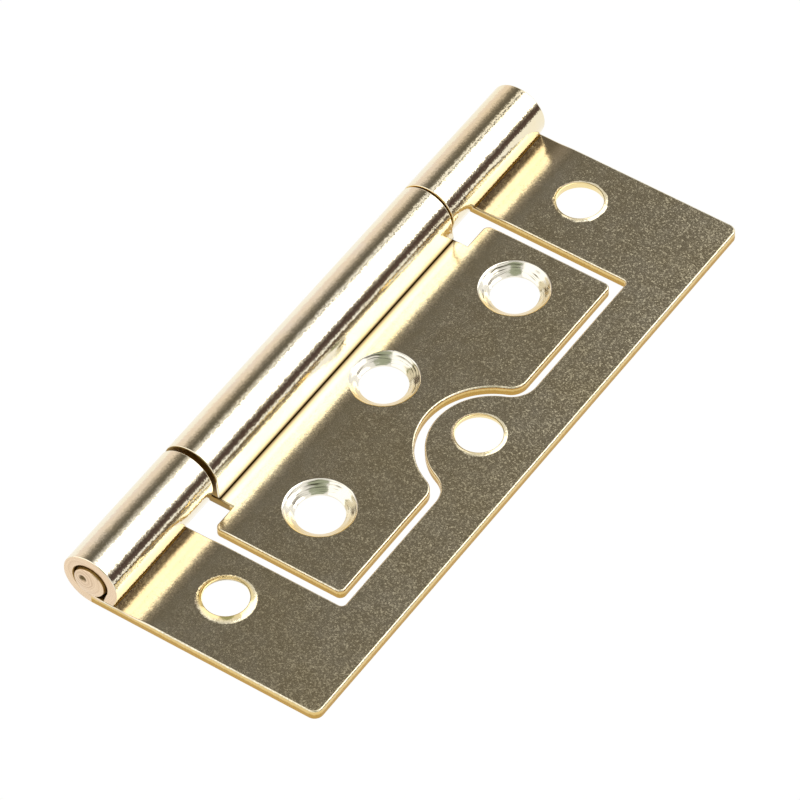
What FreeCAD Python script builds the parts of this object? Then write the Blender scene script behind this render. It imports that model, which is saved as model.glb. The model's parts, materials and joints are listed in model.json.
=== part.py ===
import FreeCAD, Part
import math
import os

# Flush hinge in rolled sheet steel, shut and lying flat.
# The small inner leaf nests in the window of the outer leaf, so both lie in one plane.
# Frame: +Z up, both leaves lie on Z = 0, the pin runs along Y, the outer leaf's free edge faces +X,
# and the origin is the middle of the footprint. Lengths are in millimetres.

# Whole hinge
hinge_length = 75.0
closed_width = 30.0
sheet = 1.2

# Pin, and the knuckles rolled round it
pin_diameter = 4.0
running_clearance = 0.05
pin_overhang = 0.35
pin_tip_radius = 1.75
pin_flat_radius = 0.9
pin_taper = 0.9
pin_crown = 0.12
end_knuckle_near = 16.2
end_knuckle_far = 16.8
knuckle_gap_near = 0.6
knuckle_gap_far = 0.2
knuckle_edge_break = 0.15

# Tongue: the last stretch of each roll, straight down to the leaf and pressed flat on it
# The angle is where the roll stops being round, measured up from the horizontal
tongue_angle_end = -20.0
tongue_angle_middle = 5.0
tongue_seam = 0.1

# Shallow trough that the rolling tool presses in the top of the sheet, out from the pin's axis
trough_depth = 0.15
trough_start = 0.2
trough_full_from = 1.2
trough_full_to = 4.6
trough_end = 7.1

# Punch mark in the near end of the pin, off its middle
punch_mark_across = -0.6
punch_mark_up = 0.45
punch_mark_radius = 0.45
punch_mark_depth = 0.3

# Window in the outer leaf
window_end_strip = 12.3
window_side_strip = 5.5
flap_reach = 1.5
leaf_corner_radius = 1.0
window_corner_radius = 0.5
edge_rollover = 0.2

# Boss that carries the outer leaf's middle screw hole into the window
boss_reach = 5.95
boss_radius = 6.7
boss_root_radius = 3.0
boss_along = -0.35

# Inner leaf in the window
nest_gap_side = 1.05
nest_gap_end = 1.3
shoulder_reach = 5.0
inner_corner_radius = 0.7

# Screw holes, punched and then countersunk
# Across is out from the pin's axis, inset is in from the end of the hole's own leaf
screw_hole_radius = 2.55
countersink_flare = 1.15
outer_row_across = 11.3
outer_near_inset = 6.8
outer_far_inset = 5.8
outer_middle_across = 20.1
outer_middle_along = 0.2
inner_row_across = 12.3
inner_near_inset = 7.7
inner_far_inset = 5.7
inner_middle_across = 8.0
inner_middle_along = 1.1
inner_countersink_depth = 1.0
near_countersink_depth = 1.0
middle_countersink_depth = 0.8
far_countersink_depth = 0.5

# Burr collar raised round each of the outer leaf's holes, on top
collar_width = 0.4
collar_crest = 0.1
near_collar_height = 0.35
middle_collar_height = 0.15
far_collar_height = 0.15

# What follows from the sizes above
bore_radius = pin_diameter / 2
journal_radius = bore_radius - running_clearance
barrel_radius = bore_radius + sheet
pin_x = barrel_radius - closed_width / 2
pin_z = barrel_radius
trough_floor = sheet - trough_depth
near_end = -hinge_length / 2
far_end = hinge_length / 2
near_knuckle_end = near_end + end_knuckle_near
far_knuckle_end = far_end - end_knuckle_far
middle_start = near_knuckle_end + knuckle_gap_near
middle_end = far_knuckle_end - knuckle_gap_far
free_edge = closed_width / 2
window_side = free_edge - window_side_strip
window_near = near_end + window_end_strip
window_far = far_end - window_end_strip
boss_apex = window_side - boss_reach


def point(x, y, z=0.0):
    return FreeCAD.Vector(x, y, z)


def line(a, b):
    return Part.makeLine(a, b)


def arc(a, middle, b):
    return Part.Arc(a, middle, b).toShape()


def plate_from(edges):
    """Flat sheet with the given plan outline, lying on Z = 0."""
    return Part.Face(Part.Wire(Part.__sortEdges__(edges))).extrude(point(0, 0, sheet))


def flat_box(x0, x1, y0, y1):
    """Sheet-thick block with the given plan corners."""
    return Part.makeBox(x1 - x0, y1 - y0, sheet, point(x0, y0, 0))


def curved_side(side, y0, y1, gap):
    """Edges from (side, y0) to (side, y1) that step in round the boss, gap away from the boss itself.

    The boss is one arc, with a root arc each side that meets it and the straight edge smoothly.
    """
    boss_arc = boss_radius + gap
    root_arc = boss_root_radius - gap
    boss_x = boss_apex + boss_radius
    root_x = side - root_arc
    root_y = math.sqrt((boss_arc + root_arc) ** 2 - (boss_x - root_x) ** 2)
    edges = []
    ends = []
    for way in (-1, 1):
        centre_y = boss_along + way * root_y
        turn = math.atan2(-way * root_y, boss_x - root_x)
        joint = point(root_x + root_arc * math.cos(turn), centre_y + root_arc * math.sin(turn))
        halfway = point(root_x + root_arc * math.cos(turn / 2), centre_y + root_arc * math.sin(turn / 2))
        straight = point(side, centre_y)
        edges.append(arc(straight, halfway, joint))
        ends.append((straight, joint))
    edges.append(arc(ends[0][1], point(boss_x - boss_arc, boss_along), ends[1][1]))
    edges.append(line(point(side, y0), ends[0][0]))
    edges.append(line(ends[1][0], point(side, y1)))
    return edges


def round_corners(solid, corners, radius):
    """Rounds the upright edges of a sheet at the given plan corners."""
    chosen = []
    for edge in solid.Edges:
        box = edge.BoundBox
        if box.ZLength < sheet / 2:
            continue
        if any(math.hypot(box.XMin - x, box.YMin - y) < 0.01 for x, y in corners):
            chosen.append(edge)
    return solid.makeFillet(radius, chosen)


def roll_over_top_edges(solid):
    """Breaks the top edges as the punch leaves them, apart from the side that runs on into the roll."""
    chosen = []
    for edge in solid.Edges:
        box = edge.BoundBox
        on_top = box.ZMin > sheet - 0.01
        into_roll = box.XMax < pin_x + 0.01
        if on_top and not into_roll:
            chosen.append(edge)
    return solid.makeChamfer(edge_rollover, chosen)


def press_trough(leaf):
    """Sinks the top of a flat leaf beside its roll."""
    profile = [
        (trough_start, sheet * 2),
        (trough_start, sheet),
        (trough_full_from, trough_floor),
        (trough_full_to, trough_floor),
        (trough_end, sheet),
        (trough_end, sheet * 2),
    ]
    corners = [point(pin_x + out, near_end - sheet, height) for out, height in profile]
    return leaf.cut(Part.Face(Part.makePolygon(corners + corners[:1])).extrude(point(0, hinge_length + 2 * sheet, 0)))


def rolled_knuckle(y0, y1, tongue_angle):
    """Sheet that leaves the leaf at the bottom, rolls round the pin and comes down to the leaf as a tongue."""

    def on_circle(radius, degrees):
        angle = math.radians(degrees)
        return point(pin_x + radius * math.cos(angle), y0, pin_z + radius * math.sin(angle))

    bottom = 270.0
    half_roll = (bottom + tongue_angle) / 2
    outer_end = on_circle(barrel_radius, tongue_angle)
    inner_end = on_circle(bore_radius, tongue_angle)

    def down_to_leaf(start):
        drop = start.z - trough_floor - tongue_seam
        return start + point(math.tan(math.radians(tongue_angle)) * drop, 0, -drop)

    edges = [
        arc(on_circle(barrel_radius, bottom), on_circle(barrel_radius, half_roll), outer_end),
        line(outer_end, down_to_leaf(outer_end)),
        line(down_to_leaf(outer_end), down_to_leaf(inner_end)),
        line(down_to_leaf(inner_end), inner_end),
        arc(inner_end, on_circle(bore_radius, half_roll), on_circle(bore_radius, bottom)),
        line(on_circle(bore_radius, bottom), on_circle(barrel_radius, bottom)),
    ]
    roll = Part.Face(Part.Wire(edges)).extrude(point(0, y1 - y0, 0))
    return break_roll_ends(roll, y0, y1)


def break_roll_ends(roll, y0, y1):
    """Breaks the sharp outer rim at each end of a roll."""
    chosen = []
    for edge in roll.Edges:
        box = edge.BoundBox
        at_an_end = box.YLength < 0.01 and min(abs(box.YMin - y0), abs(box.YMin - y1)) < 0.01
        is_outer = edge.Length > 1.5 * math.pi * bore_radius + sheet * 2 and box.ZMin < sheet / 2
        if at_an_end and is_outer:
            chosen.append(edge)
    return roll.makeChamfer(knuckle_edge_break, chosen)


def turned(x, y, outline):
    """Solid of revolution about the upright line through (x, y); outline is a list of (radius, height)."""
    corners = [point(x + radius, y, height) for radius, height in outline]
    face = Part.Face(Part.makePolygon(corners + corners[:1]))
    return face.revolve(point(x, y, 0), point(0, 0, 1), 360)


def hole_from_top(x, y, depth):
    """Screw hole whose countersink opens on the top face."""
    rim = screw_hole_radius + countersink_flare * depth
    return turned(x, y, [
        (0, -sheet),
        (screw_hole_radius, -sheet),
        (screw_hole_radius, sheet - depth),
        (rim, sheet),
        (rim, sheet * 2),
        (0, sheet * 2),
    ])


def hole_from_below(x, y, depth):
    """Screw hole whose countersink opens on the underside."""
    rim = screw_hole_radius + countersink_flare * depth
    return turned(x, y, [
        (0, -sheet),
        (rim, -sheet),
        (rim, 0),
        (screw_hole_radius, depth),
        (screw_hole_radius, sheet * 2),
        (0, sheet * 2),
    ])


def burr_collar(x, y, height):
    """Low ring of metal pushed up round a hole; its foot is sunk in the sheet."""
    foot = screw_hole_radius + collar_width
    crest = screw_hole_radius + collar_crest
    return turned(x, y, [(0, sheet / 2), (foot, sheet / 2), (foot, sheet), (crest, sheet + height), (0, sheet + height)])


def make_outer_leaf():
    blank = flat_box(pin_x, free_edge, near_end, far_end)
    blank = round_corners(blank, [(free_edge, near_end), (free_edge, far_end)], leaf_corner_radius)
    flap_edge = pin_x + flap_reach
    window = plate_from(curved_side(window_side, window_near, window_far, 0.0) + [
        line(point(window_side, window_far), point(flap_edge, window_far)),
        line(point(flap_edge, window_far), point(flap_edge, window_near)),
        line(point(flap_edge, window_near), point(window_side, window_near)),
    ])
    window = round_corners(window, [(window_side, window_near), (window_side, window_far)], window_corner_radius)
    knuckle_space = flat_box(pin_x, flap_edge, near_knuckle_end, far_knuckle_end)
    leaf = press_trough(roll_over_top_edges(blank.cut(window).cut(knuckle_space)))

    row_x = pin_x + outer_row_across
    holes = [
        (row_x, near_end + outer_near_inset, near_countersink_depth, near_collar_height),
        (row_x, far_end - outer_far_inset, far_countersink_depth, far_collar_height),
        (pin_x + outer_middle_across, outer_middle_along, middle_countersink_depth, middle_collar_height),
    ]
    for x, y, depth, collar_height in holes:
        leaf = leaf.fuse(burr_collar(x, y, collar_height))
        leaf = leaf.cut(hole_from_below(x, y, depth))
    leaf = leaf.fuse(rolled_knuckle(near_end, near_knuckle_end, tongue_angle_end))
    leaf = leaf.fuse(rolled_knuckle(far_knuckle_end, far_end, tongue_angle_end))
    return leaf.removeSplitter()


def make_inner_leaf():
    side = window_side - nest_gap_side
    body_near = window_near + nest_gap_end
    body_far = window_far - nest_gap_end
    shoulder = pin_x + shoulder_reach
    leaf = plate_from(curved_side(side, body_near, body_far, nest_gap_side) + [
        line(point(side, body_far), point(shoulder, body_far)),
        line(point(shoulder, body_far), point(shoulder, middle_end)),
        line(point(shoulder, middle_end), point(pin_x, middle_end)),
        line(point(pin_x, middle_end), point(pin_x, middle_start)),
        line(point(pin_x, middle_start), point(shoulder, middle_start)),
        line(point(shoulder, middle_start), point(shoulder, body_near)),
        line(point(shoulder, body_near), point(side, body_near)),
    ])
    outside_corners = [(x, y) for x in (side, shoulder) for y in (body_near, body_far)]
    leaf = press_trough(roll_over_top_edges(round_corners(leaf, outside_corners, inner_corner_radius)))

    row_x = pin_x + inner_row_across
    holes = [
        (row_x, body_near + inner_near_inset),
        (row_x, body_far - inner_far_inset),
        (pin_x + inner_middle_across, inner_middle_along),
    ]
    for x, y in holes:
        leaf = leaf.cut(hole_from_top(x, y, inner_countersink_depth))
    leaf = leaf.fuse(rolled_knuckle(middle_start, middle_end, tongue_angle_middle))
    return leaf.removeSplitter()


def make_hinge_pin():
    """Pin with full-size ends that grip the end knuckles, a running middle, and tapered, crowned tips."""

    def place(radius, y):
        return point(pin_x + radius, y, pin_z)

    near_tip = near_end - pin_overhang
    far_tip = far_end + pin_overhang
    journal_near = (near_knuckle_end + middle_start) / 2
    journal_far = (far_knuckle_end + middle_end) / 2
    outline = [
        place(0, near_tip),
        place(pin_flat_radius, near_tip),
        place(pin_tip_radius, near_tip + pin_crown),
        place(bore_radius, near_end + pin_taper),
        place(bore_radius, journal_near),
        place(journal_radius, journal_near),
        place(journal_radius, journal_far),
        place(bore_radius, journal_far),
        place(bore_radius, far_end - pin_taper),
        place(pin_tip_radius, far_tip - pin_crown),
        place(pin_flat_radius, far_tip),
        place(0, far_tip),
    ]
    pin = Part.Face(Part.makePolygon(outline + outline[:1])).revolve(point(pin_x, 0, pin_z), point(0, 1, 0), 360)
    mark = Part.makeCone(
        punch_mark_radius,
        punch_mark_radius / 4,
        punch_mark_depth,
        point(pin_x + punch_mark_across, near_tip, pin_z + punch_mark_up),
        point(0, 1, 0),
    )
    return pin.cut(mark)


pieces = {
    "outer_leaf": make_outer_leaf(),
    "inner_leaf": make_inner_leaf(),
    "hinge_pin": make_hinge_pin(),
}

os.makedirs("parts", exist_ok=True)
for name, shape in pieces.items():
    shape.exportStep(f"parts/{name}.step")
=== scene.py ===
import json
import math
from functools import partial

import bmesh
import bpy
from bpy.props import FloatProperty, FloatVectorProperty, IntProperty, PointerProperty
from bpy.types import Operator, Panel, PropertyGroup
from mathutils import Matrix, Vector


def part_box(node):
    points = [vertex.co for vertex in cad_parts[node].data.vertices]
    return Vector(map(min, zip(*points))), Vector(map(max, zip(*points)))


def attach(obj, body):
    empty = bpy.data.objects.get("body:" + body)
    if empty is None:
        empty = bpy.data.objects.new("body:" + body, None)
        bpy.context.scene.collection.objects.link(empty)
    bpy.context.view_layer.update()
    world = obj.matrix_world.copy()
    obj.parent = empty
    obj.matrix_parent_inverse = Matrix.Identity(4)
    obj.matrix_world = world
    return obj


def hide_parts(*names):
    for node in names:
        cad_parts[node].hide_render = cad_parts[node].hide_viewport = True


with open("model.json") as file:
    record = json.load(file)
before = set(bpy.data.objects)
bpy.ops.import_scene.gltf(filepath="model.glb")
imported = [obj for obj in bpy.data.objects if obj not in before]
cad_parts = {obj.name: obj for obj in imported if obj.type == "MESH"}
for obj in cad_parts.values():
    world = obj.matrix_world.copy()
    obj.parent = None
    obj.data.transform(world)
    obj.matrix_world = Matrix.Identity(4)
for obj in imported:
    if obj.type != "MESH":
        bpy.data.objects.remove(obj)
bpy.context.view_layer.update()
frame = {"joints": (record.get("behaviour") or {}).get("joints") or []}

bl_info = {
    "name": "Flush Hinge",
    "version": (1, 0, 0),
    "blender": (4, 5, 0),
    "location": "3D View > Sidebar > Hinge",
    "description": "Builds an electro-brassed flush hinge from rolled sheet, with its pin and a studio",
    "category": "Add Mesh",
}

# Flush hinge in rolled sheet steel, shut and lying flat.
# Both leaves are made as the real ones are: a blank, its end rolled round the pin, and punched screw holes.
# The frame is the CAD model's: metres, +Z up, pin along Y, the outer leaf's free edge faces +X.

MM = 0.001
WELD = 0.001 * MM
PIN_AXIS = Vector(frame["joints"][0]["pos_m"])
PIN_X = PIN_AXIS.x

# The hinge's two ends along the pin, and the outer leaf's free edge.
(_, NEAR, _), (FREE, FAR, _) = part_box("outer_leaf")

# Places of a leaf's finishes in its list; only the outer leaf has cropped ends.
STRIP, SHEARED, RECESS_SHADE, TURNED, CROPPED = range(5)


def linear_from_hex(code):
    """Linear RGB and a full alpha from an sRGB hex colour such as c8a878."""
    channels = [int(code[i : i + 2], 16) / 255 for i in (0, 2, 4)]
    return [c / 12.92 if c <= 0.04045 else ((c + 0.055) / 1.055) ** 2.4 for c in channels] + [1.0]


def length(name, description, millimetres):
    """Property for a size that is given in millimetres and kept in metres."""
    size = millimetres * MM
    return FloatProperty(name=name, description=description, default=size, subtype="DISTANCE", precision=5)


def angle(name, description, degrees):
    """Property for an angle that is given in degrees and kept in radians."""
    return FloatProperty(name=name, description=description, default=math.radians(degrees), subtype="ANGLE")


def colour(name, description, code):
    """Property for a colour that is given as sRGB hex."""
    rgba = linear_from_hex(code)
    return FloatVectorProperty(
        name=name, description=description, default=rgba, size=4, min=0, max=1, subtype="COLOR"
    )


class HingeSheet(PropertyGroup):
    """Sizes that both leaves share."""

    thickness: length("Sheet", "Thickness of the steel strip", 1.2)
    bore_radius: length("Bore radius", "Inside radius of the roll round the pin", 2.0)
    top_rounding: length("Top rounding", "Rim that the punch rolls over on the face side", 0.2)
    back_rounding: length("Back rounding", "Rim left by tumbling on the back and on the roll", 0.16)
    trough_depth: length("Trough", "How far the rolling tool sinks the face beside the roll", 0.15)
    floor_from: length("Trough floor from", "Where the trough is first at its full depth", 1.2)
    floor_to: length("Trough floor to", "Where the trough is last at its full depth", 4.6)
    trough_end: length("Trough end", "Where the face is flat again, out from the axis", 7.1)
    near_gap: length("Near gap", "Gap between the near and middle knuckles", 0.6)
    far_gap: length("Far gap", "Gap between the middle and far knuckles", 0.2)
    near_knuckle: length("Near knuckle", "Length of the near end knuckle", 16.2)
    far_knuckle: length("Far knuckle", "Length of the far end knuckle", 16.8)
    tongue_seam: length("Tongue seam", "Gap between the roll's end and the leaf", 0.1)
    tongue_rounding: length("Tongue rounding", "Rounding of the roll's end", 0.12)
    tongue_angle_end: angle("End tongue angle", "Where an end knuckle stops being round, up from level", -20)
    tongue_angle_middle: angle("Middle tongue angle", "Where the middle knuckle stops being round", 5)
    roll_steps: IntProperty(name="Roll steps", description="Flats in a full turn", default=88, min=24)
    hole_radius: length("Hole radius", "Radius of a punched screw hole", 2.55)
    flare: FloatProperty(
        name="Countersink flare", description="Growth of a countersink's radius with its depth", default=1.15
    )
    window_end: length("End strip", "Outer leaf between its end and the window", 12.3)
    window_side: length("Side strip", "Outer leaf between its free edge and the window", 5.5)
    boss_reach: length("Boss reach", "How far the screw boss stands into the window", 5.95)
    boss_radius: length("Boss radius", "Radius of the boss's nose", 6.7)
    boss_root: length("Boss root", "Radius where the boss meets the window's side", 3.0)
    boss_along: length("Boss along", "Place of the boss along the pin", -0.35)


class HingeOuterLeaf(PropertyGroup):
    """Sizes of the outer leaf alone."""

    flap_reach: length("Flap reach", "Leaf kept beside each end knuckle, out from the axis", 1.5)
    corner_radius: length("Corner radius", "Plan radius of the leaf's two free corners", 1.0)
    window_corner: length("Window corner", "Plan radius of the window's corners", 0.5)
    row_across: length("Row across", "End holes, out from the axis", 11.3)
    near_inset: length("Near inset", "Near end hole, in from the leaf's near end", 6.8)
    far_inset: length("Far inset", "Far end hole, in from the leaf's far end", 5.8)
    middle_across: length("Middle across", "Middle hole, out from the axis", 20.1)
    middle_along: length("Middle along", "Middle hole along the pin", 0.2)
    near_depth: length("Near countersink", "Depth of the near hole's countersink, from the back", 1.0)
    middle_depth: length("Middle countersink", "Depth of the middle hole's countersink, from the back", 0.8)
    far_depth: length("Far countersink", "Depth of the far hole's countersink, from the back", 0.5)
    near_collar: length("Near collar", "Height of the burr collar round the near hole", 0.35)
    middle_collar: length("Middle collar", "Height of the burr collar round the middle hole", 0.15)
    far_collar: length("Far collar", "Height of the burr collar round the far hole", 0.15)
    near_lean: length("Near lean", "How far the near hole's collar leans in over the hole", 0.2)
    far_lean: length("Far lean", "How far the other two collars lean in over their holes", 0.12)
    near_collar_width: length("Near collar width", "Foot of the near hole's collar, out from its crest", 0.95)
    far_collar_width: length("Far collar width", "Foot of the other two collars, out from their crests", 0.6)
    collar_crest: length("Collar crest", "Crest of a burr collar, out from the hole's lip", 0.1)
    far_ragged: length("Far raggedness", "How far the far hole's burr wanders in and out", 0.035)


class HingeInnerLeaf(PropertyGroup):
    """Sizes of the inner leaf alone."""

    side_gap: length("Side gap", "Gap between the inner leaf and the window's side", 1.05)
    end_gap: length("End gap", "Gap between the inner leaf and the window's ends", 1.3)
    shoulder: length("Shoulder", "Where the leaf's ends stop, out from the axis", 5.0)
    corner_radius: length("Corner radius", "Plan radius of the leaf's corners", 0.7)
    row_across: length("Row across", "End holes, out from the axis", 12.3)
    near_inset: length("Near inset", "Near end hole, in from the leaf's near end", 7.7)
    far_inset: length("Far inset", "Far end hole, in from the leaf's far end", 5.7)
    middle_across: length("Middle across", "Middle hole, out from the axis", 8.0)
    middle_along: length("Middle along", "Middle hole along the pin", 1.1)
    countersink_depth: length("Countersink", "Depth of each countersink, from the face", 1.0)


class HingePin(PropertyGroup):
    """Sizes of the pin."""

    overhang: length("Overhang", "How far the pin stands out of each end knuckle", 0.35)
    clearance: length("Running clearance", "Gap between the pin and the middle knuckle", 0.05)
    tip_radius: length("Tip radius", "Radius of the pin's end face", 1.65)
    taper: length("Taper", "Length of the taper at each end", 0.9)
    tip_rounding: length("Tip rounding", "Rounding between the end face and the taper", 0.1)
    crown: length("Crown", "How far the end face is domed", 0.12)
    mark_across: length("Mark across", "Punch mark, out from the axis", -0.6)
    mark_up: length("Mark up", "Punch mark, up from the axis", 0.45)
    mark_radius: length("Mark radius", "Radius of the punch mark", 0.45)
    mark_depth: length("Mark depth", "Depth of the punch mark", 0.3)


class HingeFinish(PropertyGroup):
    """Colours of the plating, of painted shade and of the studio."""

    plating: colour("Plating", "Thin brass over zinc, as most of the face shows it", "f7ecd0")
    plating_worn: colour("Thin plating", "Where the brass is thin and the zinc shows", "f2ecdc")
    plating_heavy: colour("Heavy plating", "Where the brass gathers, as on the burr collars", "f4dfa6")
    crystal: colour("Dull crystal", "The dullest of the zinc crystals", "b9ae8c")
    sheared: colour("Sheared edge", "Burnished band of a sheared edge", "e2c480")
    fracture: colour("Fracture", "Rough part of a sheared edge", "c09a4e")
    # Painted shade: this dark colour stands in for the shade in the roll, between the knuckles, in the crease
    # beside the roll and in the punch mark.
    recess_shade: colour("Recess shade", "Painted shade in the roll, between the knuckles, in the crease and in the punch mark", "6e5d3e")
    # Painted shade: the dark arcs in the countersinks' grooves.
    groove: colour("Groove shade", "Painted shade in the grooves of a countersink", "57523e")
    cropped: colour("Cropped end", "Ends of the roll and of the pin", "ecd2b2")
    # Painted shade on the real rings round the punch mark.
    end_ring_shade: colour("Ring shade in the end", "Painted shade on the rings round the punch mark", "a8886c")
    floor: colour("Floor", "Pale studio floor", "fdfdfc")


class HingeStudio(PropertyGroup):
    """Strengths of the studio's light, and the camera's place."""

    tent: FloatProperty(name="Tent", description="Brightness of the pale tent all round", default=0.9, min=0)
    floor_glow: FloatProperty(name="Floor glow", description="Light through the floor", default=1.03, min=0)
    light_box: FloatProperty(
        name="Light box", description="Power of the large soft box", default=1.65, min=0, subtype="POWER"
    )
    focal_length: FloatProperty(
        name="Focal length", description="Lens for a 36 mm wide frame, in millimetres", default=300.465, min=1
    )
    view_turn: angle("View turn", "Camera's place round the hinge, seen from above, from +X", -54.124)
    view_tilt: angle("View tilt", "Camera's place above the hinge, up from level", 49.426)
    view_roll: angle("View roll", "Turn of the camera about its line of sight", -1.923)
    view_distance: length("View distance", "Camera from the point that it looks at", 666.074)
    aim_across: length("Aim across", "Point that the camera looks at, along X", -1.388)
    aim_along: length("Aim along", "Point that the camera looks at, along the pin", 0.431)


# Shaping


def add_object(bm, name, *materials):
    """Puts a bmesh in the scene as an object with these materials, and frees it."""
    mesh = bpy.data.meshes.new(name)
    bm.to_mesh(mesh)
    bm.free()
    for material in materials:
        mesh.materials.append(material)
    thing = bpy.data.objects.new(name, mesh)
    bpy.context.scene.collection.objects.link(thing)
    return thing


def draw_blank(bm, start, moves):
    """Draws a plan outline on Z = 0 and fills it with one face.

    A move is a point to go straight to, or a centre and a turn in radians to go round.
    """
    tip = bmesh.ops.create_vert(bm, co=(*start, 0))["vert"][0]
    for move in moves:
        if len(move) == 2:
            tip = bmesh.ops.extrude_vert_indiv(bm, verts=[tip])["verts"][0]
            bmesh.ops.translate(bm, verts=[tip], vec=Vector((*move, 0)) - tip.co)
            continue
        *centre, turn = move
        steps = max(4, round(abs(turn) / math.radians(4)))
        made = bmesh.ops.spin(bm, geom=[tip], cent=(*centre, 0), axis=(0, 0, 1), angle=turn, steps=steps)
        tip = next(item for item in made["geom_last"] if isinstance(item, bmesh.types.BMVert))
    bmesh.ops.remove_doubles(bm, verts=bm.verts[:], dist=WELD)
    return bmesh.ops.contextual_create(bm, geom=bm.edges[:])["faces"][0]


def extrude(bm, face, offset):
    """Extrudes one face by an offset and returns the moved face; a face inside the solid is taken out."""
    inside = any(len(edge.link_faces) > 1 for edge in face.edges)
    made = bmesh.ops.extrude_face_region(bm, geom=[face])["geom"]
    if inside and face.is_valid:
        bmesh.ops.delete(bm, geom=[face], context="FACES_ONLY")
    moved = next(item for item in made if isinstance(item, bmesh.types.BMFace))
    bmesh.ops.translate(bm, verts=moved.verts[:], vec=offset)
    return moved


def round_edges(bm, edges, offset, steps):
    """Rounds sharp edges."""
    bmesh.ops.bevel(bm, geom=edges, offset=offset, affect="EDGES", segments=steps, profile=0.5, material=-1)


def boss_side(sheet, side, gap, way):
    """Moves along the window's side and round the boss; way is +1 going up the Y axis and -1 going down."""
    nose = sheet.boss_radius + gap
    root = sheet.boss_root - gap
    nose_x = FREE - sheet.window_side - sheet.boss_reach + sheet.boss_radius
    root_x = side - root
    root_y = math.sqrt((nose + root) ** 2 - (nose_x - root_x) ** 2)
    turn = math.atan2(root_y, nose_x - root_x)
    along = sheet.boss_along
    return [
        (side, along - way * root_y),
        (root_x, along - way * root_y, way * turn),
        (nose_x, along, -2 * way * turn),
        (root_x, along + way * root_y, way * turn),
    ]


def round_rims(bm, sheet):
    """Rounds the blank's rims, more on the face than on the back, but not the edge that is to be rolled."""
    for level, rounding in ((sheet.thickness, sheet.top_rounding), (0, sheet.back_rounding)):
        rim = [
            edge for edge in bm.edges
            if all(abs(vert.co.z - level) < WELD for vert in edge.verts)
            and any(vert.co.x > PIN_X + WELD for vert in edge.verts)
        ]
        round_edges(bm, rim, rounding, 4)


def press_trough(bm, sheet):
    """Sinks the face beside the roll in a shallow trough, as the rolling tool leaves it."""
    steps = 10
    rise = sheet.trough_end - sheet.floor_to
    lines = [sheet.floor_from]
    lines += [sheet.floor_to + rise * i / steps for i in range(steps + 1)]
    for out in lines:
        top = [face for face in bm.faces if face.calc_center_median().z > sheet.thickness / 2]
        edges = {edge for face in top for edge in face.edges}
        verts = {vert for face in top for vert in face.verts}
        bmesh.ops.bisect_plane(
            bm, geom=[*top, *edges, *verts], dist=WELD, plane_co=(PIN_X + out, 0, 0), plane_no=(1, 0, 0)
        )
    for vert in bm.verts:
        out = vert.co.x - PIN_X
        if vert.co.z > sheet.thickness / 2 and out > 10 * WELD:
            share = 1 - min(max((out - sheet.floor_to) / rise, 0), 1)
            vert.co.z -= sheet.trough_depth * share * share * (3 - 2 * share)


def roll_knuckle(bm, sheet, y0, y1, tongue_angle):
    """Rolls the blank's edge from y0 to y1 round the pin, and presses its end on the leaf as a tongue."""
    middle = Vector((PIN_X, (y0 + y1) / 2, sheet.thickness / 2))
    edge_face = min(bm.faces, key=lambda face: (face.calc_center_median() - middle).length)
    turn = math.radians(270) - tongue_angle
    steps = round(sheet.roll_steps * turn / math.tau)
    made = bmesh.ops.spin(bm, geom=[edge_face], cent=PIN_AXIS, axis=(0, 1, 0), angle=turn, steps=steps)
    end = next(item for item in made["geom_last"] if isinstance(item, bmesh.types.BMFace))
    bmesh.ops.delete(bm, geom=[edge_face], context="FACES_ONLY")
    tongue = extrude(bm, end, (0, 0, 0))
    for vert in tongue.verts:
        drop = vert.co.z - (sheet.thickness - sheet.trough_depth + sheet.tongue_seam)
        vert.co += Vector((math.tan(tongue_angle) * drop, 0, -drop))
    round_edges(bm, tongue.edges[:], sheet.tongue_rounding, 3)
    bmesh.ops.remove_doubles(bm, verts=bm.verts[:], dist=WELD)


def form_leaf(sheet, start, moves, knuckles, tongue_angle):
    """Blank with this outline, pressed and with its knuckles rolled; each knuckle is (y0, y1)."""
    bm = bmesh.new()
    extrude(bm, draw_blank(bm, start, moves), (0, 0, sheet.thickness))
    round_rims(bm, sheet)
    press_trough(bm, sheet)
    for y0, y1 in knuckles:
        roll_knuckle(bm, sheet, y0, y1, tongue_angle)
    bmesh.ops.recalc_face_normals(bm, faces=bm.faces[:])
    return bm


def turn_profile(points, centre, axis, steps):
    """Solid of revolution about a line through the centre; the profile's ends lie on that line."""
    bm = bmesh.new()
    tip = bmesh.ops.create_vert(bm, co=points[0])["vert"][0]
    for point in points[1:]:
        tip = bmesh.ops.extrude_vert_indiv(bm, verts=[tip])["verts"][0]
        tip.co = point
    profile = bm.verts[:] + bm.edges[:]
    bmesh.ops.spin(bm, geom=profile, cent=centre, axis=axis, angle=math.tau, steps=steps, use_merge=True)
    bmesh.ops.remove_doubles(bm, verts=bm.verts[:], dist=WELD)
    return bm


def turned_tool(x, y, outline, chatter=0.0, lobes=0, material=STRIP):
    """Temporary solid turned about the upright line through (x, y), from (radius, height) points.

    Chatter pushes the sloping rows in and out round the turn, as a countersink bit does when it shivers.
    """
    bm = turn_profile([(x + radius, y, height) for radius, height in outline], (x, y, 0), (0, 0, 1), 120)
    if chatter:
        low, high = outline[2][1], outline[-3][1]
        for vert in bm.verts:
            if low < vert.co.z < high:
                out = Vector((vert.co.x - x, vert.co.y - y, 0))
                turn = math.atan2(out.y, out.x)
                shiver = math.sin(lobes * turn) + 0.5 * math.sin((2 * lobes + 3) * turn + 1.1)
                vert.co += out.normalized() * chatter * shiver
    bmesh.ops.recalc_face_normals(bm, faces=bm.faces[:])
    for face in bm.faces:
        face.material_index = material
    return add_object(bm, "tool")


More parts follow.
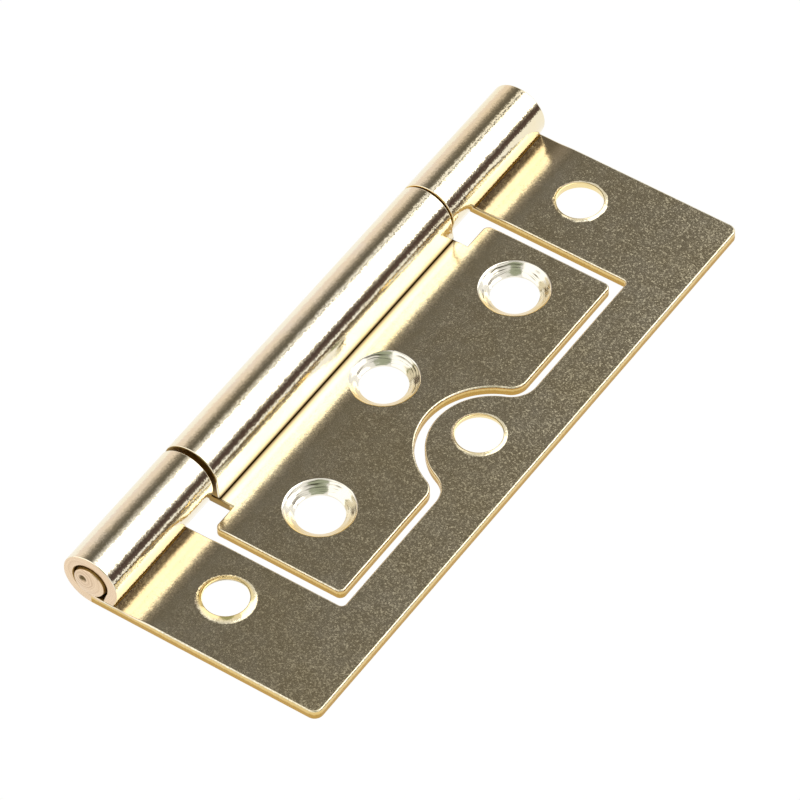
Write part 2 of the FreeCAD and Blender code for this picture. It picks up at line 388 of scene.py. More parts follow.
def countersink_tool(sheet, x, y, depth):
    """Screw hole with a grooved countersink that opens on the face, and a broken rim."""
    wall = sheet.hole_radius
    top = sheet.thickness
    rim = wall + sheet.flare * depth
    rings = 14
    groove_depth = 0.013 * MM
    rounding = 0.07 * MM
    outline = [(0, -top), (wall, -top), (wall, top - depth)]
    for i in range(1, rings):
        part = i / rings
        groove = groove_depth * math.sin(2.4 * i) * (1 if i % 2 else -1)
        outline.append((wall + sheet.flare * depth * part + groove, top - depth + depth * part))
    outline += [
        (rim - rounding * 0.4, top - rounding * 0.6),
        (rim + rounding * 0.4, top - rounding * 0.1),
        (rim + rounding * 1.2, top),
        (rim + rounding * 1.2, 2 * top),
        (0, 2 * top),
    ]
    return turned_tool(x, y, outline, chatter=0.016 * MM, lobes=7, material=TURNED)


def back_hole_tool(sheet, x, y, depth, collar, lean):
    """Punched screw hole with a countersink on the back, and a rounded lip that leans in on the face."""
    wall = sheet.hole_radius
    rim = wall + sheet.flare * depth
    lip = wall - lean
    top = sheet.thickness + collar
    rounding = 0.08 * MM
    outline = [
        (0, -top),
        (rim, -top),
        (rim, 0),
        (wall, depth),
        (wall - 0.3 * lean, depth + 0.5 * (top - depth)),
        (lip, top - rounding),
        (lip + 0.3 * rounding, top - 0.3 * rounding),
        (lip + rounding, top),
        (lip + rounding, 2 * top),
        (0, 2 * top),
    ]
    return turned_tool(x, y, outline, material=TURNED)


def burr_collar(sheet, leaf, x, y, height, width, lean, ragged):
    """Ring of metal that the punch pushed up round a hole: a hollow flank up to a thin crest."""
    crest = sheet.hole_radius - lean + leaf.collar_crest
    sunk = 0.02 * MM
    steps = 8
    outline = [(0, sheet.thickness / 2), (crest + width, sheet.thickness / 2)]
    for i in range(steps + 1):
        part = i / steps
        outline.append((crest + width * (1 - part), sheet.thickness - sunk + (height + sunk) * part**2.4))
    outline.append((0, sheet.thickness + height))
    return turned_tool(x, y, outline, chatter=ragged, lobes=9)


def punch_mark(pin, tip):
    """Pit that a centre punch leaves in the pin's near end; a temporary object."""
    bm = bmesh.new()
    wide, narrow = pin.mark_radius, pin.mark_radius / 4
    bmesh.ops.create_cone(bm, cap_ends=True, segments=32, radius1=wide, radius2=narrow, depth=pin.mark_depth)
    bmesh.ops.rotate(bm, verts=bm.verts[:], cent=(0, 0, 0), matrix=Matrix.Rotation(math.radians(-90), 3, "X"))
    place = (PIN_X + pin.mark_across, tip + pin.mark_depth / 2, PIN_AXIS.z + pin.mark_up)
    bmesh.ops.translate(bm, verts=bm.verts[:], vec=place)
    return add_object(bm, "tool")


def mark_walls(bm, sheet):
    """Gives sheared walls and the ends of the roll their own finish, and paints shade on faces in the bore,
    under the tongue and at the gaps between the knuckles.
    """
    barrel = sheet.bore_radius + sheet.thickness
    seam_floor = sheet.thickness - sheet.trough_depth
    seam_top = seam_floor + sheet.tongue_seam + sheet.tongue_rounding
    for face in bm.faces:
        if face.material_index != STRIP:
            continue
        middle = face.calc_center_median()
        off_axis = Vector((middle.x - PIN_X, 0, middle.z - PIN_AXIS.z))
        out = off_axis.length
        end_on = abs(face.normal.y) > 0.8
        upright = abs(face.normal.z) < 0.35
        at_hinge_end = min(middle.y - NEAR, FAR - middle.y) < 0.05 * MM
        beside_gap = end_on and not at_hinge_end
        off_leaf = off_axis.x < 0 or middle.z > seam_floor + sheet.trough_depth / 2
        in_roll = out < barrel - 0.02 * MM and off_leaf
        faces_pin = out < sheet.bore_radius + 0.1 * MM and face.normal.dot(off_axis) < 0
        under_tongue = face.normal.z < -0.1 and sheet.thickness / 2 < middle.z < seam_top
        in_seam = off_axis.x > sheet.bore_radius and under_tongue
        in_far_gap = abs(middle.y - (FAR - sheet.far_knuckle)) < 2 * sheet.far_gap
        if in_roll and end_on and in_far_gap:
            face.material_index = SHEARED
        # Painted shade on faces that face the pin, lie under the tongue or end at a gap in the roll.
        elif faces_pin or in_seam or (in_roll and beside_gap):
            face.material_index = RECESS_SHADE
        elif out < barrel and at_hinge_end and end_on:
            face.material_index = CROPPED
        # Upright walls beside a gap near the roll take painted shade; other upright walls are sheared.
        elif upright and off_axis.x > 0.05 * MM and middle.z < sheet.thickness:
            face.material_index = RECESS_SHADE if off_axis.x < barrel and beside_gap else SHEARED


def carve(bm, name, materials, joins, cuts, sheet=None):
    """Joins solids on, cuts others away and makes the piece; where a sheet is given, its walls are marked."""
    work = add_object(bm, "work", *materials)
    for operation, tools in (("UNION", joins), ("DIFFERENCE", cuts)):
        for tool in tools:
            boolean = work.modifiers.new(operation, "BOOLEAN")
            boolean.operation = operation
            boolean.solver = "EXACT"
            boolean.object = tool
            for material in materials:
                tool.data.materials.append(material)
    mesh = bpy.data.meshes.new_from_object(work.evaluated_get(bpy.context.evaluated_depsgraph_get()))
    for thing in (work, *joins, *cuts):
        bpy.data.objects.remove(thing)
    bm = bmesh.new()
    bm.from_mesh(mesh)
    bpy.data.meshes.remove(mesh)
    bmesh.ops.remove_doubles(bm, verts=bm.verts[:], dist=WELD)
    bmesh.ops.dissolve_degenerate(bm, edges=bm.edges[:], dist=WELD)
    bmesh.ops.recalc_face_normals(bm, faces=bm.faces[:])
    bm.normal_update()
    if sheet is not None:
        mark_walls(bm, sheet)
    piece = add_object(bm, name, *materials)
    piece.data.shade_smooth()
    piece.data.set_sharp_from_angle(angle=math.radians(38))
    shading = piece.modifiers.new("Flat faces stay flat", "WEIGHTED_NORMAL")
    shading.keep_sharp = True
    shading.weight = 100
    return piece


# Finishes


def feed(tree, node, inputs):
    """Sets or links a node's inputs, given in order or by name; a node stands for its first output in use."""
    for name, value in inputs.items() if isinstance(inputs, dict) else enumerate(inputs):
        if isinstance(value, bpy.types.Node):
            value = next(output for output in value.outputs if output.enabled)
        if isinstance(value, bpy.types.NodeSocket):
            tree.links.new(value, node.inputs[name])
        else:
            node.inputs[name].default_value = value


def add_node(tree, kind, inputs=(), **settings):
    """Adds a shader node with its settings and links.

    A Mix node takes the second one's share as input 0, and two values as 2 and 3 or two colours as 6 and 7.
    """
    node = tree.nodes.new("ShaderNode" + kind)
    for name, value in settings.items():
        setattr(node, name, value)
    feed(tree, node, inputs)
    return node


def per_metre(millimetres):
    """Texture scale that gives features of this size."""
    return 1 / (millimetres * MM)


def start_plating(name):
    """New metal material, add_node for its tree, and the object coordinates that its patterns read."""
    material = bpy.data.materials.new(name)
    material.use_nodes = True
    tree = material.node_tree
    tree.nodes["Principled BSDF"].inputs["Metallic"].default_value = 1.0
    add = partial(add_node, tree)
    return material, add, add("TexCoord").outputs["Object"]


def plate(material, tone, layers, roughness, relief):
    """Gives a metal its colour, with (mask, colour) layers over it in order, its roughness and its relief."""
    tree = material.node_tree
    for mask, over in layers:
        tone = add_node(tree, "Mix", {0: mask, 6: tone, 7: over}, data_type="RGBA")
    feed(tree, tree.nodes["Principled BSDF"], {"Base Color": tone, "Roughness": roughness, "Normal": relief})
    return material


def strip_finish(finish):
    """Electro-brassed cold-rolled steel strip: a thin brass flash over bright zinc.

    The eye gets a pale straw metal, a satin face with a fine sparkle, a brighter roll with faint lines, and
    painted shade beside the roll.
    """
    material, add, place = start_plating("electro-brassed steel strip")
    sheet = bpy.context.scene.hinge_sheet
    off_axis = add("VectorMath", (place, PIN_AXIS), operation="SUBTRACT")
    round_axis = add("VectorMath", (off_axis, (1, 0, 1)), operation="MULTIPLY")
    out = add("VectorMath", (round_axis,), operation="LENGTH")
    across = add("SeparateXYZ", (off_axis,)).outputs["X"]
    along, height = add("SeparateXYZ", (place,)).outputs[1:]
    on_face = add("MapRange", (out, 3.3 * MM, 3.9 * MM, 0.05, 1.0))

    # The real zinc crystals are finer; these are as coarse as the render needs to show them.
    # The roller burnishes the trough, so they fade towards it.
    crystals = add("TexVoronoi", {"Vector": place, "Scale": per_metre(0.13)}).outputs["Color"]
    off_trough = add("MapRange", (out, 6.3 * MM, 9.0 * MM, 0.01, 0.15))
    dim = add("SeparateColor", (crystals,))
    speckled = add("Math", (dim, off_trough), operation="MULTIPLY")
    speck = add("MapRange", (speckled, 0.0, 0.15, 0.0, 0.7))
    mottle = add("TexNoise", {"Vector": place, "Scale": per_metre(1.8), "Detail": 3.0})
    worn = add("MapRange", (mottle, 0.35, 0.7, 0.0, 0.5))
    drift = add("TexNoise", {"Vector": place, "Scale": per_metre(14.0), "Detail": 1.0})
    heavy = add("MapRange", (drift, 0.4, 0.7, 0.0, 0.3))
    drawn = add("Mapping", {"Vector": place, "Scale": (0.2, 1, 0.2)})
    mill_lines = add("TexNoise", {"Vector": drawn, "Scale": per_metre(0.17), "Detail": 2.0})

    # The brass gathers on the collars round the outer leaf's holes.
    on_leaf = add("Math", (across, 5 * MM), operation="GREATER_THAN")
    raised = add("MapRange", (height, sheet.thickness + 0.02 * MM, sheet.thickness + 0.25 * MM))
    collared = add("Math", (raised, on_leaf), operation="MULTIPLY")

    # Painted golden shade on the trough beside the end knuckles, which start about 21 mm out.
    from_middle = add("Math", (along,), operation="ABSOLUTE")
    at_ends = add("MapRange", (from_middle, 20.5 * MM, 21.5 * MM))
    golden_shade = add("MapRange", (out, 5.2 * MM, 7.6 * MM, 0.35, 0.0))
    for mask in (at_ends, on_face):
        golden_shade = add("Math", (golden_shade, mask), operation="MULTIPLY")

    # Painted shade in the crease on top, beside the roll, darkest along the long middle knuckle.
    crease_shade_end = add("Math", (at_ends, 0.35 * MM, 4.25 * MM), operation="MULTIPLY_ADD")
    crease_shade_depth = add("Math", (at_ends, -0.75, 1.0), operation="MULTIPLY_ADD")
    low = add("MapRange", (height, sheet.thickness - 0.05 * MM, sheet.thickness + 0.3 * MM, 1.0, 0.0))
    on_top = add("Math", (height, sheet.thickness / 2), operation="GREATER_THAN")
    crease_shade = add("MapRange", (across, 3.3 * MM, crease_shade_end, 1.0, 0.0), interpolation_type="SMOOTHSTEP")
    for mask in (low, on_top, crease_shade_depth):
        crease_shade = add("Math", (crease_shade, mask), operation="MULTIPLY")

    face_roughness = add("MapRange", (mottle, 0.3, 0.7, 0.14, 0.18))
    roll_roughness = add("MapRange", (mill_lines, 0.3, 0.7, 0.06, 0.1))
    roughness = add("Mix", {0: on_face, 2: roll_roughness, 3: face_roughness})

    # The roller rubs the finish beyond the trough too, which lengthens the trough's slope.
    rubbed = add("MapRange", (out, 4.4 * MM, 7.9 * MM), interpolation_type="SMOOTHSTEP")
    peel = add("Bump", {"Height": mottle, "Distance": 0.003 * MM})
    lined = add("Bump", {"Height": mill_lines, "Distance": 0.0045 * MM, "Normal": peel})
    dished = add("Bump", {"Height": rubbed, "Distance": 0.062 * MM, "Normal": lined})
    # The crystals lean their own ways, by up to 0.08 along each axis on the face and 0.035 on the roll.
    roll_spread = add("MapRange", (out, 3.3 * MM, 3.9 * MM, 0.06, 0.008))
    unburnished = add("Math", (off_trough, roll_spread), operation="ADD")
    off_collar = add("Math", (1.0, collared), operation="SUBTRACT")
    spread = add("Math", (unburnished, off_collar), operation="MULTIPLY")
    centred = add("VectorMath", (crystals, (0.5, 0.5, 0.5)), operation="SUBTRACT")
    lean = add("VectorMath", {0: centred, "Scale": spread}, operation="SCALE")
    leaning = add("VectorMath", (dished, lean), operation="ADD")
    sparkling = add("VectorMath", (leaning,), operation="NORMALIZE")
    layers = [
        (worn, finish.plating_worn),
        (heavy, finish.plating_heavy),
        (speck, finish.crystal),
        (collared, finish.plating_heavy),
        (golden_shade, finish.fracture),
        (crease_shade, finish.recess_shade),
    ]
    return plate(material, finish.plating, layers, roughness, sparkling)


def sheared_finish(finish):
    """Electro-brassed sheared edge: a burnished band under the face, and rough fracture below it.

    The eye gets a deep gold edge with upright streaks, darker and duller towards the back.
    """
    material, add, place = start_plating("electro-brassed sheared edge")
    upright = add("Mapping", {"Vector": place, "Scale": (1, 1, 0.08)})
    scores = add("TexNoise", {"Vector": upright, "Scale": per_metre(0.18), "Detail": 2.0})
    height = add("SeparateXYZ", (place,)).outputs["Z"]
    wavy = add("Math", (scores, 0.3 * MM, height), operation="MULTIPLY_ADD")
    burnished = add("MapRange", (wavy, 0.75 * MM, 0.95 * MM))
    roughness = add("MapRange", (burnished, 0.0, 1.0, 0.42, 0.22))
    relief = add("Bump", {"Height": scores, "Distance": 0.02 * MM})
    return plate(material, finish.fracture, [(burnished, finish.sheared)], roughness, relief)


def recess_shade_finish(finish):
    """Painted shade on the steel inside the roll and between the knuckles, where little light reaches.

    The eye gets dull, dark gaps beside the bright knuckles.
    """
    material, add, place = start_plating("painted shade in the roll")
    mottle = add("TexNoise", {"Vector": place, "Scale": per_metre(0.5), "Detail": 2.0})
    roughness = add("MapRange", (mottle, 0.3, 0.7, 0.35, 0.55))
    relief = add("Bump", {"Height": mottle, "Distance": 0.01 * MM})
    return plate(material, finish.recess_shade, [(mottle, finish.fracture)], roughness, relief)


def turned_finish(finish, centres, plating):
    """Electro-brassed holes and countersinks: bright rings from the bit, under the plating that is given.

    The eye gets a pale funnel with fine arcs of painted shade, broken where the bit skipped, and a painted
    golden reflection on the side towards the camera.
    """
    material, add, place = start_plating("electro-brassed turned countersink")
    # How far each point is from the nearest centre, and how far towards the hole's far side, away from the
    # camera and towards the roll's far end
    radius, towards_far_side = 1.0, 0.0
    for x, y in centres:
        offset = add("VectorMath", (place, (x, y, 0)), operation="SUBTRACT")
        flat = add("VectorMath", (offset, (1, 1, 0)), operation="MULTIPLY")
        away = add("VectorMath", (flat,), operation="LENGTH")
        here = add("Math", (away, 5 * MM), operation="LESS_THAN")
        side = add("VectorMath", (flat, (-0.55, 0.83, 0)), operation="DOT_PRODUCT")
        towards_far_side = add("Math", (here, side, towards_far_side), operation="MULTIPLY_ADD")
        radius = add("Math", (radius, away), operation="MINIMUM")
    wander = add("TexNoise", {"Vector": place, "Scale": per_metre(2.5), "Detail": 1.0})
    ring = add("Math", (wander, 0.6 * MM, radius), operation="MULTIPLY_ADD")
    ring_place = add("CombineXYZ", (ring,))
    rings = add("TexNoise", {"Vector": ring_place, "Scale": per_metre(0.22), "Detail": 1.0})
    # Painted shade: dark arcs in the turned grooves.
    in_groove = add("MapRange", (rings, 0.5, 0.42))
    # Painted shade: the arcs are denser on the side away from the camera, towards the roll's far end.
    arc_shade_threshold = add("MapRange", (towards_far_side, 0.0, 3.0 * MM, 0.6, 0.42))
    skips = add("TexNoise", {"Vector": place, "Scale": per_metre(1.6), "Detail": 1.0})
    not_skipped = add("MapRange", (skips, arc_shade_threshold, 0.64))
    dark = add("Math", (in_groove, not_skipped), operation="MULTIPLY")
    # Painted golden reflection on the side of each hole towards the camera.
    near_side_reflection = add("MapRange", (towards_far_side, 0.0, -2.2 * MM))
    roughness = add("MapRange", (rings, 0.3, 0.7, 0.2, 0.1))
    relief = add("Bump", {"Height": rings, "Distance": 0.012 * MM})
    return plate(material, plating, [(near_side_reflection, finish.sheared), (dark, finish.groove)], roughness, relief)


def end_finish(finish):
    """Electro-brassed ends of the roll and the pin, cropped, tumbled and plated a little coppery.

    The eye gets a peach-coloured end with faint rings round the punch mark, darkened with painted shade, and
    painted shade in the mark.
    """
    material, add, place = start_plating("electro-brassed cropped end")
    pin = bpy.context.scene.hinge_pin_sizes
    mark = (PIN_X + pin.mark_across, 0, PIN_AXIS.z + pin.mark_up)
    flat = add("VectorMath", (place, (1, 0, 1)), operation="MULTIPLY")
    away = add("VectorMath", (flat, mark), operation="DISTANCE")
    mottle = add("TexNoise", {"Vector": place, "Scale": per_metre(0.9), "Detail": 3.0})
    ring = add("Math", (mottle, 0.35 * MM, away), operation="MULTIPLY_ADD")
    ring_place = add("CombineXYZ", (ring,))
    rings = add("TexNoise", {"Vector": ring_place, "Scale": per_metre(0.2), "Detail": 1.0})
    # The rings round the punch mark are real; their darkening, strongest near the mark, is painted shade.
    fade = add("MapRange", (away, 0.45 * MM, 2.2 * MM, 0.6, 0.15))
    shade = add("MapRange", (rings, 0.56, 0.4, 0.0, fade))
    along = add("SeparateXYZ", (place,)).outputs["Y"]
    at_near_end = add("Math", (along, 0.0), operation="LESS_THAN")
    # Painted shade in the punch mark on the pin's near end.
    mark_shade = add("MapRange", (ring, 0.68 * MM, 0.48 * MM, 0.0, at_near_end))
    roughness = add("MapRange", (mottle, 0.3, 0.7, 0.18, 0.3))
    relief = add("Bump", {"Height": rings, "Distance": 0.02 * MM})
    layers = [(shade, finish.end_ring_shade), (mark_shade, finish.recess_shade)]
    return plate(material, finish.cropped, layers, roughness, relief)


def leaf_finishes(finish, centres, plating):
    """Finishes of a leaf, in the order of STRIP, SHEARED, RECESS_SHADE and TURNED."""
    plain = [make(finish) for make in (strip_finish, sheared_finish, recess_shade_finish)]
    return [*plain, turned_finish(finish, centres, plating)]


# Pieces


class HINGE_OT_outer_leaf(Operator):
    """Blank, roll and punch the outer leaf"""

    bl_idname = "hinge.outer_leaf"
    bl_label = "Outer leaf"

    def execute(self, context):
        sheet = context.scene.hinge_sheet
        leaf = context.scene.hinge_outer_leaf
        finish = context.scene.hinge_finish
        quarter = math.pi / 2
        radius = leaf.corner_radius
        corner = leaf.window_corner
        flap = PIN_X + leaf.flap_reach
        near_knuckle = NEAR + sheet.near_knuckle
        far_knuckle = FAR - sheet.far_knuckle
        side = FREE - sheet.window_side
        window_near = NEAR + sheet.window_end
        window_far = FAR - sheet.window_end
        moves = [
            (FREE - radius, NEAR),
            (FREE - radius, NEAR + radius, quarter),
            (FREE, FAR - radius),
            (FREE - radius, FAR - radius, quarter),
            (PIN_X, FAR),
            (PIN_X, far_knuckle),
            (flap, far_knuckle),
            (flap, window_far),
            (side - corner, window_far),
            (side - corner, window_far - corner, -quarter),
            *boss_side(sheet, side, 0, -1),
            (side, window_near + corner),
            (side - corner, window_near + corner, -quarter),
            (flap, window_near),
            (flap, near_knuckle),
            (PIN_X, near_knuckle),
            (PIN_X, NEAR),
        ]
        knuckles = [(NEAR, near_knuckle), (far_knuckle, FAR)]
        bm = form_leaf(sheet, (PIN_X, NEAR), moves, knuckles, sheet.tongue_angle_end)
        # By centre: the countersink's depth, and the collar's height, width, lean and raggedness
        holes = {
            (PIN_X + leaf.row_across, NEAR + leaf.near_inset): (
                leaf.near_depth, leaf.near_collar, leaf.near_collar_width, leaf.near_lean, 0
            ),
            (PIN_X + leaf.row_across, FAR - leaf.far_inset): (
                leaf.far_depth, leaf.far_collar, leaf.far_collar_width, leaf.far_lean, leaf.far_ragged
            ),
            (PIN_X + leaf.middle_across, leaf.middle_along): (
                leaf.middle_depth, leaf.middle_collar, leaf.far_collar_width, leaf.far_lean, 0
            ),
        }
        collars = []
        tools = []
        for (x, y), (depth, height, width, lean, ragged) in holes.items():
            collars.append(burr_collar(sheet, leaf, x, y, height, width, lean, ragged))
            tools.append(back_hole_tool(sheet, x, y, depth, height, lean))
        finishes = leaf_finishes(finish, holes, finish.plating_heavy)
        finishes.append(end_finish(finish))
        piece = carve(bm, "outer_leaf_rolled", finishes, collars, tools, sheet)
        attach(piece, "outer_leaf")
        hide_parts("outer_leaf")
        return {"FINISHED"}


class HINGE_OT_inner_leaf(Operator):
    """Blank, roll, punch and countersink the inner leaf"""

    bl_idname = "hinge.inner_leaf"
    bl_label = "Inner leaf"

    def execute(self, context):
        sheet = context.scene.hinge_sheet
        leaf = context.scene.hinge_inner_leaf
        finish = context.scene.hinge_finish
        quarter = math.pi / 2
        radius = leaf.corner_radius
        side = FREE - sheet.window_side - leaf.side_gap
        body_near = NEAR + sheet.window_end + leaf.end_gap
        body_far = FAR - sheet.window_end - leaf.end_gap
        shoulder = PIN_X + leaf.shoulder
        start = NEAR + sheet.near_knuckle + sheet.near_gap
        end = FAR - sheet.far_knuckle - sheet.far_gap
        moves = [
            (shoulder, start),
            (shoulder, body_near + radius),
            (shoulder + radius, body_near + radius, quarter),
            (side - radius, body_near),
            (side - radius, body_near + radius, quarter),
            *boss_side(sheet, side, leaf.side_gap, 1),
            (side, body_far - radius),
            (side - radius, body_far - radius, quarter),
            (shoulder + radius, body_far),
            (shoulder + radius, body_far - radius, quarter),
            (shoulder, end),
            (PIN_X, end),
            (PIN_X, start),
        ]
        bm = form_leaf(sheet, (PIN_X, start), moves, [(start, end)], sheet.tongue_angle_middle)
        centres = [
            (PIN_X + leaf.row_across, body_near + leaf.near_inset),
            (PIN_X + leaf.row_across, body_far - leaf.far_inset),
            (PIN_X + leaf.middle_across, leaf.middle_along),
        ]
        tools = [countersink_tool(sheet, x, y, leaf.countersink_depth) for x, y in centres]
        finishes = leaf_finishes(finish, centres, finish.plating_worn)
        piece = carve(bm, "inner_leaf_rolled", finishes, [], tools, sheet)
        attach(piece, "inner_leaf")
        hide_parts("inner_leaf")
        return {"FINISHED"}


def dome(pin, grip, face_y, way):
    """Profile of one end of the pin, from its middle out to full size; way points out of the hinge."""
    tip = face_y + way * pin.overhang
    edge = tip - way * pin.crown
    rows = [(pin.tip_radius * part, tip - way * pin.crown * part**2) for part in (0, 0.3, 0.55, 0.8, 1)]
    for degrees in (30, 60, 90):
        turn = math.radians(degrees)
        out = pin.tip_radius + pin.tip_rounding * math.sin(turn)
        rows.append((out, edge - way * pin.tip_rounding * (1 - math.cos(turn))))
    rows.append((grip, face_y - way * pin.taper))
    return rows


class HINGE_OT_pin(Operator):
    """Turn the pin, dome its ends and punch its mark"""

    bl_idname = "hinge.pin"
    bl_label = "Pin"

    def execute(self, context):
        sheet = context.scene.hinge_sheet
        pin = context.scene.hinge_pin_sizes
        finish = context.scene.hinge_finish
        grip = sheet.bore_radius
        running = grip - pin.clearance
        running_near = NEAR + sheet.near_knuckle + sheet.near_gap / 2
        running_far = FAR - sheet.far_knuckle - sheet.far_gap / 2
        rows = dome(pin, grip, NEAR, -1)
        rows += [(grip, running_near), (running, running_near), (running, running_far), (grip, running_far)]
        rows += reversed(dome(pin, grip, FAR, 1))
        points = [(PIN_X + radius, y, PIN_AXIS.z) for radius, y in rows]
        bm = turn_profile(points, PIN_AXIS, (0, 1, 0), 72)
        bmesh.ops.recalc_face_normals(bm, faces=bm.faces[:])
        # The domed ends take the first finish, and all between them takes the painted shade of the roll's
        # inside.
        body_end = FAR + pin.overhang - pin.crown - pin.tip_rounding
        for face in bm.faces:
            if abs(face.calc_center_median().y) < body_end:
                face.material_index = 1
        finishes = [end_finish(finish), recess_shade_finish(finish)]
        piece = carve(bm, "hinge_pin_turned", finishes, [], [punch_mark(pin, NEAR - pin.overhang)])
        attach(piece, "outer_leaf")
        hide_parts("hinge_pin")
        return {"FINISHED"}


# Studio


def glowing(name, rgba, strength):
    """Plain light-giving material for the studio."""
    material = bpy.data.materials.new(name)
    material.use_nodes = True
    tree = material.node_tree
    shader = tree.nodes["Principled BSDF"]
    feed(tree, shader, {"Base Color": (0, 0, 0, 1), "Specular IOR Level": 0, "Roughness": 1})
    feed(tree, shader, {"Emission Color": rgba, "Emission Strength": strength})
    return material


def graded(name, stops):
    """Light that changes across a card; a stop is a place from 0 to 1 and its linear red, green and blue."""
    material = glowing(name, (1, 1, 1, 1), 1.0)
    tree = material.node_tree
    place = add_node(tree, "SeparateXYZ", (add_node(tree, "UVMap"),))
    ramp = add_node(tree, "ValToRGB", (place,))
    ramp.color_ramp.interpolation = "EASE"
    while len(ramp.color_ramp.elements) < len(stops):
        ramp.color_ramp.elements.new(0.5)
    for element, (at, red, green, blue) in zip(ramp.color_ramp.elements, stops):
        element.position = at
        element.color = (red, green, blue, 1)
    feed(tree, tree.nodes["Principled BSDF"], {"Emission Color": ramp})
    return material


def sweep_direction(degrees):
    """Direction seen in the roll where it faces halfway between the camera and this angle; 90 is up."""
    studio = bpy.context.scene.hinge_studio
    lean = -math.cos(studio.view_tilt) * math.sin(studio.view_turn)
    across = math.sqrt(1 - lean**2)
    turn = math.radians(degrees)
    return Vector((across * math.cos(turn), lean, across * math.sin(turn)))


def facing_middle(direction, distance):
    """Placement at a distance from the hinge, facing it, with its X axis square to the pin."""
    back = direction.normalized()
    across = Vector((-back.z, 0, back.x)).normalized()
    turn = Matrix((across, back.cross(across), back)).transposed().to_4x4()
    return Matrix.Translation(back * distance) @ turn


def place_card(name, bm, material):
    """Puts a card in the scene that only the metal sees."""
    card = add_object(bm, name, material)
    card.visible_camera = False


def add_bent_card(name, sweep, along, distance, material):
    """Card bent round the sweep from one angle to another, with its two ends along the pin."""
    bm = bmesh.new()
    uv = bm.loops.layers.uv.new("across")
    bmesh.ops.create_grid(bm, x_segments=24, y_segments=1, size=0.5)
    for face in bm.faces:
        for loop in face.loops:
            loop[uv].uv = (loop.vert.co.x + 0.5, loop.vert.co.y + 0.5)
    for vert in bm.verts:
        direction = sweep_direction(sweep[0] + (sweep[1] - sweep[0]) * (vert.co.x + 0.5))
        end = along[0] + (along[1] - along[0]) * (vert.co.y + 0.5)
        vert.co = direction * distance + Vector((0, end, 0))
    place_card(name, bm, material)


def add_flat_card(name, direction, distance, width, height, material):
    """Flat card that faces the hinge from a direction."""
    bm = bmesh.new()
    bmesh.ops.create_grid(bm, x_segments=1, y_segments=1, size=0.5)
    bmesh.ops.scale(bm, vec=(width, height, 1), verts=bm.verts[:])
    bmesh.ops.transform(bm, matrix=facing_middle(Vector(direction), distance), verts=bm.verts[:])
    place_card(name, bm, material)


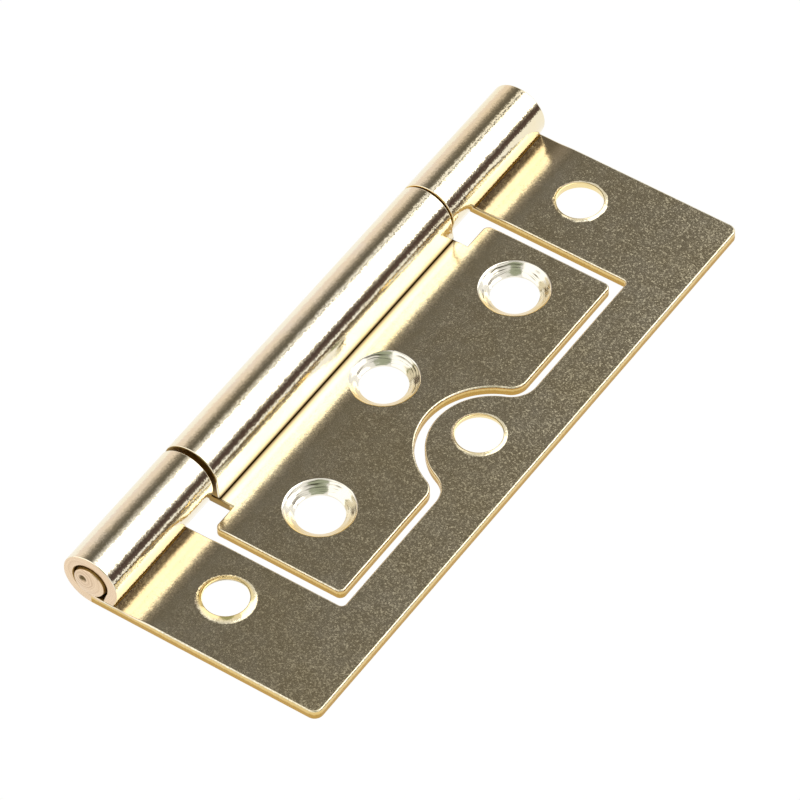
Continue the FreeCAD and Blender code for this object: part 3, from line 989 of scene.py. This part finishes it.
class HINGE_OT_stage(Operator):
    """Lay the pale floor and set the light box, the cards and the camera"""

    bl_idname = "hinge.stage"
    bl_label = "Stage"

    def execute(self, context):
        scene = context.scene
        studio = scene.hinge_studio
        finish = scene.hinge_finish

        bm = bmesh.new()
        bmesh.ops.create_grid(bm, x_segments=1, y_segments=1, size=1.5)
        bmesh.ops.translate(bm, verts=bm.verts[:], vec=(0, 0, -0.02 * MM))
        floor = add_object(bm, "floor", glowing("pale acrylic floor", finish.floor, studio.floor_glow))

        world = bpy.data.worlds.new("pale tent")
        world.use_nodes = True
        tree = world.node_tree
        feed(tree, tree.nodes["Background"], {"Color": (1, 1, 1, 1), "Strength": studio.tent})
        scene.world = world

        box = bpy.data.lights.new("light box", "AREA")
        box.shape = "RECTANGLE"
        box.size = 0.58
        box.size_y = 0.6
        box.energy = studio.light_box
        lamp = bpy.data.objects.new("light box", box)
        lamp.matrix_world = facing_middle(sweep_direction(64.5), distance=0.62)
        lamp.visible_camera = False
        scene.collection.objects.link(lamp)

        overhead = graded("grey to warm card", [
            (0.0, 0.9, 0.9, 0.9),
            (0.08, 0.46, 0.44, 0.42),
            (0.17, 0.155, 0.142, 0.12),
            (0.24, 0.14, 0.128, 0.108),
            (0.36, 0.24, 0.215, 0.185),
            (0.48, 0.56, 0.5, 0.45),
            (0.6, 0.86, 0.77, 0.72),
            (0.85, 0.92, 0.83, 0.83),
            (1.0, 0.93, 0.9, 0.88),
        ])
        add_bent_card("overhead card", sweep=(97, 195), along=(-0.35, 0.35), distance=0.6, material=overhead)
        side = graded("dark card", [
            (0.0, 0.3, 0.27, 0.25),
            (0.25, 0.1, 0.07, 0.065),
            (0.6, 0.08, 0.055, 0.05),
            (0.85, 0.25, 0.22, 0.2),
            (1.0, 0.8, 0.78, 0.76),
        ])
        add_bent_card("side card", sweep=(-2, 33), along=(-0.3, 0.3), distance=0.6, material=side)
        second = graded("second lamp and its edge", [
            (0.0, 1.1, 1.1, 1.1),
            (0.29, 1.1, 1.1, 1.1),
            (0.32, 0.06, 0.05, 0.045),
            (0.46, 0.06, 0.05, 0.045),
            (0.49, 1.1, 1.1, 1.1),
            (0.78, 1.1, 1.1, 1.1),
            (1.0, 0.4, 0.38, 0.36),
        ])
        add_bent_card("second lamp", sweep=(89, 109), along=(0.0, 0.12), distance=0.58, material=second)
        grey = glowing("grey card by the camera", (1, 1.1, 0.82, 1), 0.36)
        add_flat_card("card by the camera", (0.44, -0.61, 0.655), 0.5, width=0.36, height=0.36, material=grey)
        front = glowing("front lamp", (1, 1, 1, 1), 1.35)
        add_flat_card("front lamp", (-0.62, -0.6, 0.5), 0.6, width=0.9, height=0.6, material=front)

        camera = bpy.data.cameras.new("camera")
        camera.sensor_width = 36
        camera.lens = studio.focal_length
        camera.clip_start = 0.01
        camera.clip_end = 10
        eye = bpy.data.objects.new("camera", camera)
        eye.matrix_world = (
            Matrix.Translation((studio.aim_across, studio.aim_along, 0))
            @ Matrix.Rotation(studio.view_turn + math.pi / 2, 4, "Z")
            @ Matrix.Rotation(math.pi / 2 - studio.view_tilt, 4, "X")
            @ Matrix.Rotation(studio.view_roll, 4, "Z")
            @ Matrix.Translation((0, 0, studio.view_distance))
        )
        scene.collection.objects.link(eye)
        scene.camera = eye
        scene.view_settings.view_transform = "Standard"
        return {"FINISHED"}


class HINGE_PT_panel(Panel):
    """Sizes, finishes and steps of the hinge"""

    bl_idname = "HINGE_PT_panel"
    bl_label = "Flush hinge"
    bl_space_type = "VIEW_3D"
    bl_region_type = "UI"
    bl_category = "Hinge"

    def draw(self, context):
        for title, name, group in GROUPS:
            box = self.layout.box()
            box.label(text=title)
            for size in group.__annotations__:
                box.prop(getattr(context.scene, name), size)
        for operator in OPERATORS:
            self.layout.operator(operator.bl_idname)


GROUPS = [
    ("Sheet", "hinge_sheet", HingeSheet),
    ("Outer leaf", "hinge_outer_leaf", HingeOuterLeaf),
    ("Inner leaf", "hinge_inner_leaf", HingeInnerLeaf),
    ("Pin", "hinge_pin_sizes", HingePin),
    ("Finish", "hinge_finish", HingeFinish),
    ("Studio", "hinge_studio", HingeStudio),
]
OPERATORS = [HINGE_OT_outer_leaf, HINGE_OT_inner_leaf, HINGE_OT_pin, HINGE_OT_stage]


def register():
    for title, name, group in GROUPS:
        bpy.utils.register_class(group)
        setattr(bpy.types.Scene, name, PointerProperty(type=group))
    for operator in OPERATORS:
        bpy.utils.register_class(operator)
    bpy.utils.register_class(HINGE_PT_panel)


def unregister():
    bpy.utils.unregister_class(HINGE_PT_panel)
    for operator in reversed(OPERATORS):
        bpy.utils.unregister_class(operator)
    for title, name, group in reversed(GROUPS):
        delattr(bpy.types.Scene, name)
        bpy.utils.unregister_class(group)


def main():
    register()
    bpy.ops.hinge.outer_leaf()
    bpy.ops.hinge.inner_leaf()
    bpy.ops.hinge.pin()
    bpy.ops.hinge.stage()


if __name__ == "__main__":
    main()
